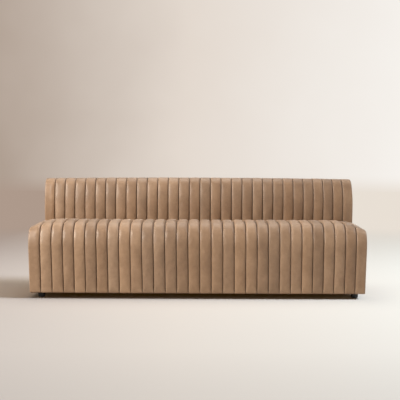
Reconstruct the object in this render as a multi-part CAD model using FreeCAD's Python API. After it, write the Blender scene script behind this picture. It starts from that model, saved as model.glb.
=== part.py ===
import FreeCAD, Part
import math
import os

# Channelled leather banquette bench: a plywood and hardwood carcass on four short feet, a sprung seat,
# foam, and a seat and back whose leather is sewn into a row of upright padded channels.
# Millimetres. X runs along the bench, the front faces -Y, +Z is up.
# The origin is on the floor, in the middle of the bench's footprint.

# Overall sizes
bench_width = 2134.0
bench_depth = 680.0
bench_height = 762.0
seat_height = 470.0
back_thickness = 186.0
base_clearance = 34.0

# Channels: a row of padded lobes with a sewn seam between each pair
channel_count = 30
lobe_rise = 12.0
shoulder_width = 16.0
crest_drop = 2.5
crown_rise = 8.0
pad_thickness = 14.0

# Thin layers, and the slack between curved layers
leather = 1.6
backing_cloth = 0.8
layer_gap = 0.3

# Side profile of the seat, along the seam line
nose_radius = 38.0
nose_blend_radius = 300.0
nose_blend_deg = 14.0
front_lean_deg = 3.5
hem_return_radius = 120.0
tuck_reach = 10.0

# Side profile of the back, along the seam line
back_top_flat = 4.0
rear_core_radius = 2.0
wrap_over_frame = 4.0

# Foam and felt
seat_foam_thickness = 75.0
front_foam_least = 10.0
back_foam_thickness = 30.0
end_pad_thickness = 10.0
rear_felt_thickness = 4.0
insulator_thickness = 3.0

# Carcass
board = 18.0
front_panel_thickness = 5.0
rear_panel_thickness = 4.0
shell_thickness = 5.0
rear_cover_inset = 8.0
rail_thickness = 22.0
rail_height = 62.0
base_rail_width = 45.0
base_rail_height = 45.0
mid_rail_lift = 80.0
rib_count = 3
spring_room = 50.0
joint_slack = 0.2
corner_block_leg = 70.0
corner_block_height = 40.0

# Springs and their clips
spring_count = 16
spring_bends = 18
spring_wire = 3.8
spring_half_bar = 14.0
clip_length = 16.0
clip_steel = 1.2
clip_slack = 0.2

# Screws that hold the rails between the end gables
screw_length = 60.0
screw_shank_radius = 2.4
screw_head_radius = 4.8
screw_head_height = 3.6
screws_per_joint = 2

# Feet
foot_inset = 64.0
foot_top_radius = 24.0
foot_bottom_radius = 21.5
foot_edge_round = 2.0
glide_thickness = 3.0
glide_radius = 19.0
stud_radius = 4.0
stud_depth_in_foot = 22.0
stud_slack = 0.3
tee_nut_flange_radius = 11.0
tee_nut_flange = 1.6
tee_nut_barrel_radius = 5.4
tee_nut_barrel = 12.0
stud_stand_proud = 3.0

# Dust cover under the base
dust_cover_cloth = 0.8

# Cuts run past the faces they open
overrun = 5.0

# Derived places: the outside
half_width = bench_width / 2
pitch = bench_width / channel_count
crest_offset = lobe_rise + crown_rise
y_front = -bench_depth / 2
y_rear = bench_depth / 2
z_seat_seam = seat_height - crest_offset
z_back_seam = bench_height - crest_offset
y_nose_seam = y_front + crest_offset
y_back_crest = y_rear - back_thickness
y_back_seam = y_back_crest + crest_offset
y_rear_seam = y_rear - crest_offset
y_crease = y_back_crest - layer_gap
z_back_start = z_seat_seam - pad_thickness
rear_edge_radius = pad_thickness + rear_core_radius
back_roll_radius = y_rear_seam - y_back_seam - rear_edge_radius - back_top_flat

# Derived places: how deep each layer lies under the seam line
backing_outer = -pad_thickness - layer_gap
backing_inner = backing_outer - backing_cloth
foam_outer = backing_inner - layer_gap
end_outline = -pad_thickness - layer_gap
shell_outer = foam_outer - back_foam_thickness
shell_inner = shell_outer - shell_thickness

# Derived places: the seat's side profile, as angles of its outward normal from straight up
lean = math.radians(front_lean_deg)
nose_blend = math.radians(nose_blend_deg)
nose_end = math.pi / 2 + lean
blend_excess = nose_blend_radius - nose_radius
y_nose_centre = y_nose_seam + nose_radius
z_nose_centre = z_seat_seam - nose_blend_radius + blend_excess * math.cos(nose_blend)
y_blend_centre = y_nose_centre + blend_excess * math.sin(nose_blend)
z_hem = base_clearance + leather
z_lean_end = z_hem + hem_return_radius * math.sin(lean)
z_nose_end = z_nose_centre + nose_radius * math.cos(nose_end)
lean_length = (z_nose_end - z_lean_end) / math.cos(lean)
y_nose_end = y_nose_centre - nose_radius * math.sin(nose_end)
y_lean_end = y_nose_end + lean_length * math.sin(lean)
y_return_centre = y_lean_end - hem_return_radius * math.sin(nose_end)
y_hem_seam = y_return_centre + hem_return_radius

# Derived places: the carcass
z_frame = z_hem
y_panel_front = y_hem_seam - foam_outer + front_foam_least
y_panel_back = y_panel_front + front_panel_thickness
z_deck = z_seat_seam + foam_outer - seat_foam_thickness
z_insulator = z_deck - insulator_thickness
z_seat_rail = z_insulator - clip_steel - spring_wire
y_shell_front = y_back_seam - shell_outer
y_shell_back = y_back_seam - shell_inner
y_rear_cover = y_rear - rear_cover_inset
y_rear_felt = y_rear_cover - leather - layer_gap
y_rear_panel = y_rear_felt - rear_felt_thickness
y_gable_back = y_rear_panel - rear_panel_thickness
z_gable_top = z_back_seam + shell_inner
z_wrap_end = z_gable_top + wrap_over_frame
x_pad_end = half_width - leather - layer_gap
x_gable = x_pad_end - end_pad_thickness
x_gable_inside = x_gable - board
y_roll_centre = y_back_seam + back_roll_radius
z_roll_centre = z_back_seam - back_roll_radius
x_foot = half_width - foot_inset
y_foot_front = y_panel_back + base_rail_width / 2
y_foot_rear = y_gable_back - base_rail_width / 2

os.makedirs("parts", exist_ok=True)


def save(node, shape):
    shape.exportStep("parts/" + node + ".step")


def box(x0, x1, y0, y1, z0, z1):
    corner = FreeCAD.Vector(x0, y0, z0)
    return Part.makeBox(x1 - x0, y1 - y0, z1 - z0, corner)


def line(start, end):
    return Part.LineSegment(start, end).toShape()


def arc(start, middle, end):
    return Part.Arc(start, middle, end).toShape()


def side(y, z):
    """A point of a side profile, in the YZ plane."""
    return FreeCAD.Vector(0, y, z)


def side_arc(y, z, radius, start, end):
    """An arc of a side profile, between two angles of its outward normal from straight up."""
    points = []
    for angle in (start, (start + end) / 2, end):
        points.append(side(y - radius * math.sin(angle), z + radius * math.cos(angle)))
    return arc(*points)


def ends(edges):
    """The first and last points of a run of edges laid head to tail."""
    return edges[0].firstVertex(True).Point, edges[-1].lastVertex(True).Point


def across(edges, x0, x1):
    """The solid between x0 and x1 whose side profile is this closed run of edges."""
    face = Part.Face(Part.Wire(Part.__sortEdges__(edges)))
    face.translate(FreeCAD.Vector(x0, 0, 0))
    return face.extrude(FreeCAD.Vector(x1 - x0, 0, 0))


def polygon(points):
    """Closed straight edges through side-profile points."""
    return [line(a, b) for a, b in zip(points, points[1:] + points[:1])]


def group(solids):
    return Part.makeCompound(solids)


# Side profiles that every layer follows, each at its own height over the seam line

def seat_nose(height):
    """From the crease forward over the seat, round the nose and down to the hem."""
    radius = nose_radius + height
    top = z_seat_seam + height
    blend = side_arc(y_blend_centre, z_seat_seam - nose_blend_radius,
                     nose_blend_radius + height, 0, nose_blend)
    nose = side_arc(y_nose_centre, z_nose_centre, radius, nose_blend, nose_end)
    lean_top = ends([nose])[1]
    run = side(lean_length * math.sin(lean), -lean_length * math.cos(lean))
    front = line(lean_top, lean_top + run)
    hem = side_arc(y_return_centre, z_hem, height - hem_return_radius, nose_end, math.pi / 2)
    return [line(side(y_crease, top), side(y_blend_centre, top)), blend, nose, front, hem]


def back_roll(height):
    """From the seat up the back, over the roll and round the rear top edge."""
    front = y_back_seam - height
    top = z_back_seam + height
    rear = y_rear_seam + height
    y_edge = y_rear_seam - rear_edge_radius
    z_edge = z_back_seam - rear_edge_radius
    roll = side_arc(y_roll_centre, z_roll_centre, back_roll_radius + height, math.pi / 2, 0)
    edge = side_arc(y_edge, z_edge, rear_edge_radius + height, 0, -math.pi / 2)
    return [line(side(front, z_back_start), side(front, z_roll_centre)), roll,
            line(side(y_roll_centre, top), side(y_edge, top)), edge,
            line(side(rear, z_edge), side(rear, z_wrap_end))]


# The row of channels, as a section across the bench: x along it, height over the seam line

def crown(x):
    """How far the row swells towards the middle of the bench."""
    return crown_rise * (1 - (x / half_width) ** 2)


def lobe(index, inset, place):
    """One channel's outside, drawn in by inset, as two shoulders and a crest."""
    left = -half_width + index * pitch
    right = left + pitch
    crest = crown((left + right) / 2) + lobe_rise - inset
    feet = (place(left + inset, crown(left) - inset), place(right - inset, crown(right) - inset))
    tops = (place(left + shoulder_width, crest - crest_drop),
            place(right - shoulder_width, crest - crest_drop))
    edges = []
    for foot, top in zip(feet, tops):
        rounding = FreeCAD.Vector(top - foot)
        swing = place(0, rounding.dot(place_up(place))) - place(0, 0)
        level = rounding - swing
        middle = foot + level * (1 - math.cos(math.pi / 4)) + swing * math.sin(math.pi / 4)
        edges.append(arc(foot, middle, top))
    crest_arc = arc(tops[0], place((left + right) / 2, crest), tops[1])
    return [edges[0], crest_arc, edges[1]]


def place_up(place):
    """The direction that height runs in."""
    return place(0, 1) - place(0, 0)


def lobe_row(inset, place):
    """All the channels from left to right, with a flat at each seam where they are drawn in."""
    edges = []
    for index in range(channel_count):
        made = lobe(index, inset, place)
        if edges and inset > 0:
            seam = crown(-half_width + index * pitch) - inset
            x = -half_width + index * pitch
            edges.append(line(place(x - inset, seam), place(x + inset, seam)))
        edges += made
    return edges


def closed_section(outer, corners):
    """A closed wire from the lobes and the straight corners that follow them, right to left."""
    first, last = row_ends(outer)
    points = [last] + corners + [first]
    return Part.Wire(Part.__sortEdges__(outer + [line(a, b) for a, b in zip(points, points[1:])]))


def row_ends(edges):
    """The leftmost and rightmost points of a row of lobes."""
    points = sorted((v.Point for e in edges for v in e.Vertexes), key=lambda p: p.x)
    return points[0], points[-1]


def pad_section(place):
    """The channels' stuffing, down to its flat inner side."""
    inset = leather + layer_gap
    x = half_width - inset
    corners = [place(x, -pad_thickness), place(-x, -pad_thickness)]
    return closed_section(lobe_row(inset, place), corners)


def cover_section(place):
    """The sewn leather over the channels, with a flap down each end of the row."""
    outer = lobe_row(0, place)
    inner = lobe_row(leather, place)
    inside = half_width - leather
    first, last = row_ends(outer)
    inner_first, inner_last = row_ends(inner)
    right = [last, place(half_width, -pad_thickness), place(inside, -pad_thickness), inner_last]
    left = [inner_first, place(-inside, -pad_thickness), place(-half_width, -pad_thickness), first]
    edges = outer + inner
    for points in (right, left):
        edges += [line(a, b) for a, b in zip(points, points[1:])]
    return Part.Wire(Part.__sortEdges__(edges))


def backing_section(place):
    """The cloth that the channels are sewn to."""
    x = x_gable - layer_gap
    points = [place(-x, backing_inner), place(x, backing_inner),
              place(x, backing_outer), place(-x, backing_outer)]
    return Part.Wire(polygon(points))


def on_seat(x, height):
    """Where a section point lies at the seat's crease, the start of its profile."""
    return FreeCAD.Vector(x, y_crease, z_seat_seam + height)


def on_back(x, height):
    """Where a section point lies at the foot of the back, the start of its profile."""
    return FreeCAD.Vector(x, y_back_seam - height, z_back_start)


def at_hem(x, height):
    """Where a section point lies at the hem, the end of the seat's profile."""
    return FreeCAD.Vector(x, y_hem_seam - height, z_hem)


def swept(section, profile):
    path = Part.Wire(profile)
    return path.makePipeShell([section], True, False)


# Seat upholstery

def make_seat_cover():
    """The channelled leather of the seat and front, turned under the front rail."""
    sleeve = swept(cover_section(on_seat), seat_nose(0))
    tuck = y_hem_seam - y_panel_back - tuck_reach
    x_tuck = x_gable - layer_gap
    right = [at_hem(half_width, -pad_thickness), at_hem(x_tuck, -pad_thickness), at_hem(x_tuck, tuck)]
    left = [at_hem(-x_tuck, tuck), at_hem(-x_tuck, -pad_thickness), at_hem(-half_width, -pad_thickness)]
    hem = Part.Face(closed_section(lobe_row(0, at_hem), right + left))
    return sleeve.fuse(hem.extrude(FreeCAD.Vector(0, 0, -leather)))


def seat_foam_edges():
    """The foam slab over the springs, with the nose at its front."""
    top, blend, nose, front, hem = seat_nose(foam_outer)
    lean_top, lean_bottom = ends([front])
    share = (lean_top.z - z_deck) / (lean_top.z - lean_bottom.z)
    split = lean_top + (lean_bottom - lean_top) * share
    rear = y_back_seam - foam_outer - layer_gap
    front_top = side(y_blend_centre, z_seat_seam + foam_outer)
    rear_top = side(rear, z_seat_seam + foam_outer)
    rear_bottom = side(rear, z_deck)
    slab = [line(rear_top, front_top), blend, nose, line(lean_top, split),
            line(split, rear_bottom), line(rear_bottom, rear_top)]
    hem_end = ends([hem])[1]
    panel_bottom = side(y_panel_front, z_hem)
    panel_top = side(y_panel_front, z_deck)
    wedge = [line(split, lean_bottom), hem, line(hem_end, panel_bottom),
             line(panel_bottom, panel_top), line(panel_top, split)]
    return slab, wedge


def make_seat_upholstery():
    save("seat_cover", make_seat_cover())
    save("seat_channel_pad", swept(pad_section(on_seat), seat_nose(0)))
    save("seat_backing", swept(backing_section(on_seat), seat_nose(0)))
    slab, wedge = seat_foam_edges()
    save("seat_foam", across(slab, -x_gable, x_gable))
    save("front_foam", across(wedge, -x_gable, x_gable))
    save("spring_insulator",
         box(-x_gable, x_gable, y_panel_front, y_shell_front, z_insulator, z_deck))


# Back upholstery

def roll_layer(outer, inner, z_bottom):
    """A layer of even thickness up the back and over its roll, stopping at the rear top edge."""
    rear = y_rear_seam + foam_outer
    profiles = []
    for height in (outer, inner):
        front = y_back_seam - height
        top = z_back_seam + height
        roll = side_arc(y_roll_centre, z_roll_centre, back_roll_radius + height, math.pi / 2, 0)
        rise = line(side(front, z_bottom), side(front, z_roll_centre))
        profiles.append([rise, roll, line(side(y_roll_centre, top), side(rear, top))])
    starts = [ends(p)[0] for p in profiles]
    finishes = [ends(p)[1] for p in profiles]
    return profiles[0] + profiles[1] + [line(*starts), line(*finishes)]


def make_back_upholstery():
    save("back_cover", swept(cover_section(on_back), back_roll(0)))
    save("back_channel_pad", swept(pad_section(on_back), back_roll(0)))
    save("back_backing", swept(backing_section(on_back), back_roll(0)))
    save("back_foam", across(roll_layer(foam_outer, shell_outer, z_deck), -x_gable, x_gable))
    save("back_shell",
         across(roll_layer(shell_outer, shell_inner, z_seat_rail), -x_gable, x_gable))


# Ends and rear

def end_edges(shrink, rear):
    """The outline of a bench end, inside the channels, drawn in by shrink, back to rear."""
    depth = end_outline - shrink
    nose = seat_nose(depth)[1:]
    hem_end = ends(nose)[1]
    seat_top = z_seat_seam + depth
    front = y_back_seam - depth
    top = z_back_seam + depth
    rear_top = y_rear_seam + depth
    step = z_wrap_end - layer_gap - shrink
    foot = base_clearance + shrink
    roll = side_arc(y_roll_centre, z_roll_centre, back_roll_radius + depth, math.pi / 2, 0)
    rise = [side(y_blend_centre, seat_top), side(front, seat_top), side(front, z_roll_centre)]
    fall = [side(y_roll_centre, top), side(rear_top, top), side(rear_top, step),
            side(rear, step), side(rear, foot), side(hem_end.y, foot), hem_end]
    straight = [line(a, b) for a, b in zip(rise, rise[1:])]
    straight += [line(a, b) for a, b in zip(fall, fall[1:])]
    return nose + [roll] + straight


def make_ends():
    """A leather panel over a thin pad on each end of the carcass."""
    for name, sign in (("left", -1), ("right", 1)):
        cover = sorted((sign * (half_width - leather), sign * half_width))
        pad = sorted((sign * x_gable, sign * x_pad_end))
        save(name + "_end_cover", across(end_edges(0, y_rear_cover), *cover))
        save(name + "_end_pad", across(end_edges(layer_gap, y_rear_felt), *pad))


def make_rear():
    """Plain leather over felt on the rear panel, under the channels' rear ends."""
    top = z_wrap_end - layer_gap
    x = half_width - leather - layer_gap
    save("rear_cover", box(-x, x, y_rear_cover - leather, y_rear_cover, base_clearance, top))
    save("rear_felt", box(-x_gable, x_gable, y_rear_panel, y_rear_felt, z_frame, top))
    save("rear_panel", box(-x_gable, x_gable, y_gable_back, y_rear_panel, z_frame, z_gable_top))


# Carcass

def rails():
    """Each long rail's box, between the end gables, by name."""
    z_seat_low = z_seat_rail - rail_height
    z_mid = z_seat_rail + mid_rail_lift
    y_top_rail = y_gable_back - rail_thickness
    z_base_top = z_frame + base_rail_height
    y_seat_rear = y_shell_front - rail_thickness
    spans = {
        "seat_front_rail": (y_panel_back, y_panel_back + rail_thickness, z_seat_low, z_seat_rail),
        "seat_rear_rail": (y_seat_rear, y_shell_front, z_seat_low, z_seat_rail),
        "base_front_rail": (y_panel_back, y_panel_back + base_rail_width, z_frame, z_base_top),
        "base_rear_rail": (y_gable_back - base_rail_width, y_gable_back, z_frame, z_base_top),
        "back_mid_rail": (y_top_rail, y_gable_back, z_mid, z_mid + rail_height),
        "back_top_rail": (y_top_rail, y_gable_back, z_gable_top - rail_height, z_gable_top),
    }
    return spans


def gable_edges(z_seat):
    """The side profile of a gable or rib whose seat part stops at z_seat."""
    roll = side_arc(y_roll_centre, z_roll_centre, back_roll_radius + shell_inner, math.pi / 2, 0)
    rise = [side(y_panel_back, z_frame), side(y_panel_back, z_seat), side(y_shell_back, z_seat),
            side(y_shell_back, z_roll_centre)]
    fall = [side(y_roll_centre, z_gable_top), side(y_gable_back, z_gable_top),
            side(y_gable_back, z_frame), side(y_panel_back, z_frame)]
    straight = [line(a, b) for a, b in zip(rise, rise[1:])]
    straight += [line(a, b) for a, b in zip(fall, fall[1:])]
    return straight + [roll]


def screw_points():
    """Where the screws enter the end gables, as y and z: up each rail, but across the base rails,
    where they pass on both sides of the foot studs."""
    places = []
    for name, (y0, y1, z0, z1) in rails().items():
        for number in range(screws_per_joint):
            share = (number + 0.5) / screws_per_joint
            if name.startswith("base"):
                places.append((y0 + (y1 - y0) * share, (z0 + z1) / 2))
            else:
                places.append(((y0 + y1) / 2, z0 + (z1 - z0) * share))
    return places


def screw(y, z, sign):
    """A countersunk wood screw through an end gable into a rail's end."""
    inward = FreeCAD.Vector(-sign, 0, 0)
    start = FreeCAD.Vector(sign * x_gable, y, z)
    head = Part.makeCone(screw_head_radius, screw_shank_radius, screw_head_height, start, inward)
    shank = Part.makeCylinder(screw_shank_radius, screw_length, start, inward)
    return head.fuse(shank).removeSplitter()


def foot_places():
    """Each foot's name with its x and y."""
    places = {}
    for row, y in (("front", y_foot_front), ("rear", y_foot_rear)):
        for name, sign in (("left", -1), ("right", 1)):
            places[row + "_" + name] = (sign * x_foot, y)
    return places


def upright(radius, x, y, z0, z1):
    return Part.makeCylinder(radius, z1 - z0, FreeCAD.Vector(x, y, z0))


def stud_bores():
    """The holes in the base rails for the foot studs and the tee nuts' barrels."""
    z_top = z_frame + base_rail_height
    bores = []
    for x, y in foot_places().values():
        bores.append(upright(stud_radius + stud_slack, x, y, z_frame - overrun, z_top + overrun))
        bores.append(upright(tee_nut_barrel_radius, x, y, z_top - tee_nut_barrel, z_top + overrun))
    return bores


def make_carcass():
    screws = []
    for sign in (-1, 1):
        screws += [screw(y, z, sign) for y, z in screw_points()]
    save("gable_screws", group(screws))
    for name, (y0, y1, z0, z1) in rails().items():
        rail = box(-x_gable_inside, x_gable_inside, y0, y1, z0, z1).cut(screws)
        if name.startswith("base"):
            rail = rail.cut(stud_bores())
        save(name, rail)
    outline = gable_edges(z_seat_rail)
    save("left_gable", across(outline, -x_gable, -x_gable_inside).cut(screws))
    save("right_gable", across(outline, x_gable_inside, x_gable).cut(screws))
    make_ribs()
    z_top = z_insulator
    save("front_panel", box(-x_gable, x_gable, y_panel_front, y_panel_back, z_frame, z_top))
    make_corner_blocks()


def make_ribs():
    """Inner ribs, notched over the rails and kept clear under the springs."""
    notches = [box(-half_width, half_width, y0 - joint_slack, y1 + joint_slack,
                   z0 - joint_slack, z1 + joint_slack) for y0, y1, z0, z1 in rails().values()]
    outline = gable_edges(z_seat_rail - spring_room)
    bay = 2 * x_gable_inside / (rib_count + 1)
    for number in range(rib_count):
        x = -x_gable_inside + bay * (number + 1)
        rib = across(outline, x - board / 2, x + board / 2).cut(notches)
        save("rib_" + str(number + 1), rib)


def make_corner_blocks():
    """Glued triangular blocks that square up the base frame's corners."""
    base_front = y_panel_back + base_rail_width
    base_rear = y_gable_back - base_rail_width
    for row, y, way in (("front", base_front, 1), ("rear", base_rear, -1)):
        for name, sign in (("left", -1), ("right", 1)):
            x = sign * x_gable_inside
            corner = FreeCAD.Vector(x, y, z_frame)
            along = FreeCAD.Vector(x - sign * corner_block_leg, y, z_frame)
            inward = FreeCAD.Vector(x, y + way * corner_block_leg, z_frame)
            face = Part.Face(Part.makePolygon([corner, along, inward, corner]))
            block = face.extrude(FreeCAD.Vector(0, 0, corner_block_height))
            save("corner_block_" + row + "_" + name, block)


# Springs

def spring_span():
    """The y of a spring's first and last bars, on the middle of the two seat rails."""
    spans = rails()
    return [sum(spans[name][:2]) / 2 for name in ("seat_front_rail", "seat_rear_rail")]


def spring_wire_path():
    """Straight bars along X joined by round bends, snaking from the front rail to the rear."""
    first, last = spring_span()
    step = (last - first) / spring_bends
    z = z_seat_rail + spring_wire / 2
    edges = []
    side_sign = 1
    for bar in range(spring_bends + 1):
        y = first + bar * step
        end_x = side_sign * spring_half_bar
        edges.append(line(FreeCAD.Vector(-end_x, y, z), FreeCAD.Vector(end_x, y, z)))
        if bar < spring_bends:
            outer = FreeCAD.Vector(end_x + side_sign * step / 2, y + step / 2, z)
            edges.append(arc(FreeCAD.Vector(end_x, y, z), outer, FreeCAD.Vector(end_x, y + step, z)))
        side_sign = -side_sign
    return Part.Wire(edges)


def make_springs():
    path = spring_wire_path()
    start = path.Vertexes[0].Point
    ring = Part.makeCircle(spring_wire / 2, start, FreeCAD.Vector(1, 0, 0))
    spring = path.makePipeShell([Part.Wire(ring)], True, False)
    tunnel = spring_wire / 2 + clip_slack
    wall = tunnel + clip_steel
    z_clip = z_seat_rail + spring_wire + clip_steel
    z_tunnel = z_seat_rail + spring_wire
    springs, clips = [], []
    spacing = 2 * x_gable_inside / spring_count
    for number in range(spring_count):
        x = -x_gable_inside + spacing * (number + 0.5)
        copy = spring.copy()
        copy.translate(FreeCAD.Vector(x, 0, 0))
        springs.append(copy)
        for y in spring_span():
            x0, x1 = x - clip_length / 2, x + clip_length / 2
            saddle = box(x0, x1, y - wall, y + wall, z_seat_rail, z_clip)
            bore = box(x0 - overrun, x1 + overrun, y - tunnel, y + tunnel,
                       z_seat_rail - overrun, z_tunnel)
            clips.append(saddle.cut(bore))
    save("seat_springs", group(springs))
    save("spring_clips", group(clips))


# Feet and dust cover

def make_feet():
    """Turned feet on studs that run up through the base rails into tee nuts."""
    z_rail_top = z_frame + base_rail_height
    z_stud = base_clearance - stud_depth_in_foot
    z_stud_top = z_rail_top + tee_nut_flange + stud_stand_proud
    studs, nuts = [], []
    for name, (x, y) in foot_places().items():
        body = Part.makeCone(foot_bottom_radius, foot_top_radius, base_clearance - glide_thickness,
                             FreeCAD.Vector(x, y, glide_thickness))
        rim = [e for e in body.Edges if e.Closed and e.Vertexes[0].Point.z < base_clearance]
        rim = [e for e in rim if isinstance(e.Curve, Part.Circle)]
        stud = upright(stud_radius, x, y, z_stud, z_stud_top)
        save("foot_" + name, body.makeFillet(foot_edge_round, rim).cut(stud))
        save("foot_glide_" + name, upright(glide_radius, x, y, 0, glide_thickness))
        studs.append(stud)
        flange = upright(tee_nut_flange_radius, x, y, z_rail_top, z_rail_top + tee_nut_flange)
        barrel = upright(tee_nut_barrel_radius, x, y, z_rail_top - tee_nut_barrel, z_rail_top)
        nuts.append(flange.fuse(barrel).removeSplitter().cut(stud))
    save("foot_studs", group(studs))
    save("foot_tee_nuts", group(nuts))


def make_dust_cover():
    """Thin cloth that closes the base behind the leather's turned-under edge."""
    y0 = y_panel_back + tuck_reach + layer_gap
    sheet = box(-x_gable, x_gable, y0, y_rear_panel, z_frame - dust_cover_cloth, z_frame)
    holes = [upright(stud_radius + stud_slack, x, y, z_frame - overrun, z_frame + overrun)
             for x, y in foot_places().values()]
    save("dust_cover", sheet.cut(holes))


make_seat_upholstery()
make_back_upholstery()
make_ends()
make_rear()
make_carcass()
make_springs()
make_feet()
make_dust_cover()
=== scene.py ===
import bpy
import math
import random
from mathutils import Matrix, Vector, noise


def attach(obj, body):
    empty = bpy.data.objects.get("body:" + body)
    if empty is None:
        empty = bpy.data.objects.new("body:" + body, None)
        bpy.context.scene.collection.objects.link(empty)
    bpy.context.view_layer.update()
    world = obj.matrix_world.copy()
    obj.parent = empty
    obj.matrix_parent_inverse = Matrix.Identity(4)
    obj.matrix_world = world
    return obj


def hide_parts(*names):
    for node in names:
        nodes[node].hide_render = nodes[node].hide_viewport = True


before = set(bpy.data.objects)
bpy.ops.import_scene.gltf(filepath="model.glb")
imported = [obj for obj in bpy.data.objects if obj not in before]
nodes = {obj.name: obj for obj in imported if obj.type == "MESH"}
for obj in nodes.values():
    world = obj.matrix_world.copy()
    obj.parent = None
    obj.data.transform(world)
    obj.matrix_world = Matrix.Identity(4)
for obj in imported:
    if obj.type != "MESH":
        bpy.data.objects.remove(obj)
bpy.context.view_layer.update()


# The photographed view: a nearly level camera about five metres in front of the bench, a little higher than
# its back, turned and rolled by a fraction of a degree.
camera_place = (0.030, -5.117, 0.816)
camera_turn_deg = 0.224
camera_tilt_deg = -2.252
camera_roll_deg = 0.218
camera_field_deg = 29.36

bpy.ops.object.select_all(action="DESELECT")
camera_aim = (Matrix.Rotation(math.radians(camera_turn_deg), 3, "Z")
              @ Matrix.Rotation(math.radians(90 + camera_tilt_deg), 3, "X")
              @ Matrix.Rotation(math.radians(camera_roll_deg), 3, "Z"))
bpy.ops.object.camera_add(location=camera_place, rotation=camera_aim.to_euler())
camera = bpy.context.object
camera.data.angle = math.radians(camera_field_deg)
bpy.context.scene.camera = camera
bpy.context.scene.view_settings.view_transform = "Standard"


# The studio floor and the pale wall far behind it: warm plaster with painted light, darker to the left and lighter
# to the right.
# Both are stage and not part of the bench.
floor_half = 30.0
wall_distance = 24.0
wall_height = 24.0


def new_material(name):
    """A material with its node tree emptied down to the output."""
    made = bpy.data.materials.new(name)
    made.use_nodes = True
    made.node_tree.nodes.clear()
    made.node_tree.nodes.new("ShaderNodeOutputMaterial")
    return made


def put(tree, kind, *links, **values):
    """Adds a node, sets its named sockets or settings, and links (socket, from output) pairs."""
    node = tree.nodes.new("ShaderNode" + kind)
    for key, value in values.items():
        if hasattr(node, key) and key not in node.inputs:
            setattr(node, key, value)
        else:
            node.inputs[key.replace("_", " ")].default_value = value
    for socket, source in links:
        tree.links.new(source, node.inputs[socket])
    return node


def finish_with(tree, shader):
    output = next(n for n in tree.nodes if n.type == "OUTPUT_MATERIAL")
    tree.links.new(shader, output.inputs["Surface"])


def ramp(tree, source, stops):
    """A colour ramp over (place, colour) stops."""
    node = put(tree, "ValToRGB", ("Fac", source))
    band = node.color_ramp.elements
    while len(band) < len(stops):
        band.new(0.5)
    for mark, (place, colour) in zip(band, stops):
        mark.position = place
        mark.color = (*colour, 1.0)
    return node.outputs["Color"]


def times(tree, source, factor, base=None):
    """A value times a factor, added to a base where there is one."""
    links = [(0, source)] if base is None else [(0, source), (2, base)]
    node = put(tree, "Math", *links, operation="MULTIPLY" if base is None else "MULTIPLY_ADD")
    node.inputs[1].default_value = factor
    return node.outputs["Value"]


def blend(tree, factor, low, high):
    """A colour between two others, each an output or a plain colour."""
    node = put(tree, "Mix", ("Factor", factor), data_type="RGBA")
    for socket, colour in ((node.inputs[6], low), (node.inputs[7], high)):
        if isinstance(colour, tuple):
            socket.default_value = (*colour, 1.0)
        else:
            tree.links.new(colour, socket)
    return node.outputs[2]


def wear(obj, material):
    obj.data.materials.clear()
    obj.data.materials.append(material)


# Painted light across the stage: the plaster and floor tints run from shaded at the left to lit at the right.
plaster_painted_shade = (0.43, 0.345, 0.285)
plaster_mid = (0.77, 0.69, 0.62)
plaster_painted_light = (0.93, 0.90, 0.86)
near_floor_stops = [(0.0, (0.518, 0.439, 0.386)), (0.5, (0.618, 0.547, 0.466)), (1.0, (0.597, 0.575, 0.505))]
far_floor_tints = ((0.42, 0.32, 0.26), (0.74, 0.66, 0.58), (0.81, 0.74, 0.66))
floor_bounce = (0.418, 0.332, 0.244)
floor_span, floor_cloud = 4.4, 0.25
wall_span, wall_cloud = (-6.5, 9.5), 3.0
wall_foot, wall_clear = -0.2, 0.7
# Painted light: the floor glows faintly warm, which lifts and warms its shadows.
painted_shadow_glow = (0.015, 0.006, 0.0)
fade_start, fade_end = 0.5, 7.0
ring_start, ring_end = 2.6, 6.5
# Painted shade: the near floor is painted darker towards the camera, as if the lamps' light fell off there.
painted_falloff_dim = 0.90
painted_falloff_start, painted_falloff_end = -1.7, -2.6


def seen_directly(tree):
    """1 for the eye and for gloss, 0 for the light that a surface throws on other things."""
    path = put(tree, "LightPath")
    eye = put(tree, "Math", (0, path.outputs["Is Camera Ray"]), (1, path.outputs["Is Glossy Ray"]),
              operation="MAXIMUM")
    return put(tree, "Math", (0, eye.outputs["Value"]), (1, path.outputs["Is Transmission Ray"]),
               operation="MAXIMUM").outputs["Value"]


bpy.ops.object.select_all(action="DESELECT")
bpy.ops.mesh.primitive_plane_add(size=2 * floor_half, location=(0, wall_distance - floor_half, 0))
floor = bpy.context.object
floor.name = "studio_floor"
bpy.ops.object.transform_apply(location=True, rotation=False, scale=False)
floor_material = new_material("pale_floor")
tree = floor_material.node_tree
coords = put(tree, "TexCoord").outputs["Object"]
axes = put(tree, "SeparateXYZ", ("Vector", coords))
cloud = put(tree, "TexNoise", ("Vector", coords), Scale=0.6, Detail=3.0).outputs["Fac"]
share = put(tree, "MapRange", ("Value", times(tree, cloud, floor_cloud, axes.outputs["X"])),
            From_Min=-floor_span / 2, From_Max=floor_span / 2).outputs["Result"]
# Painted light on the floor: its pale tint is painted darker to the left and lighter to the right.
near_tint = ramp(tree, share, near_floor_stops)
far_tint = ramp(tree, share, list(zip((0.0, 0.5, 1.0), far_floor_tints)))
eye = seen_directly(tree)
# Painted shade: the floor tint dims towards the camera.
painted_falloff_share = put(tree, "MapRange", ("Value", axes.outputs["Y"]), From_Min=painted_falloff_end, From_Max=painted_falloff_start,
                 To_Min=painted_falloff_dim, To_Max=1.0).outputs["Result"]
falloff_dimmed_tint = put(tree, "VectorMath", (0, near_tint), ("Scale", painted_falloff_share), operation="SCALE").outputs["Vector"]
tint = blend(tree, eye, floor_bounce, falloff_dimmed_tint)
plaster = put(tree, "BsdfPrincipled", ("Base Color", tint), Roughness=0.8)
plaster.inputs["Specular IOR Level"].default_value = 0.2
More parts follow.
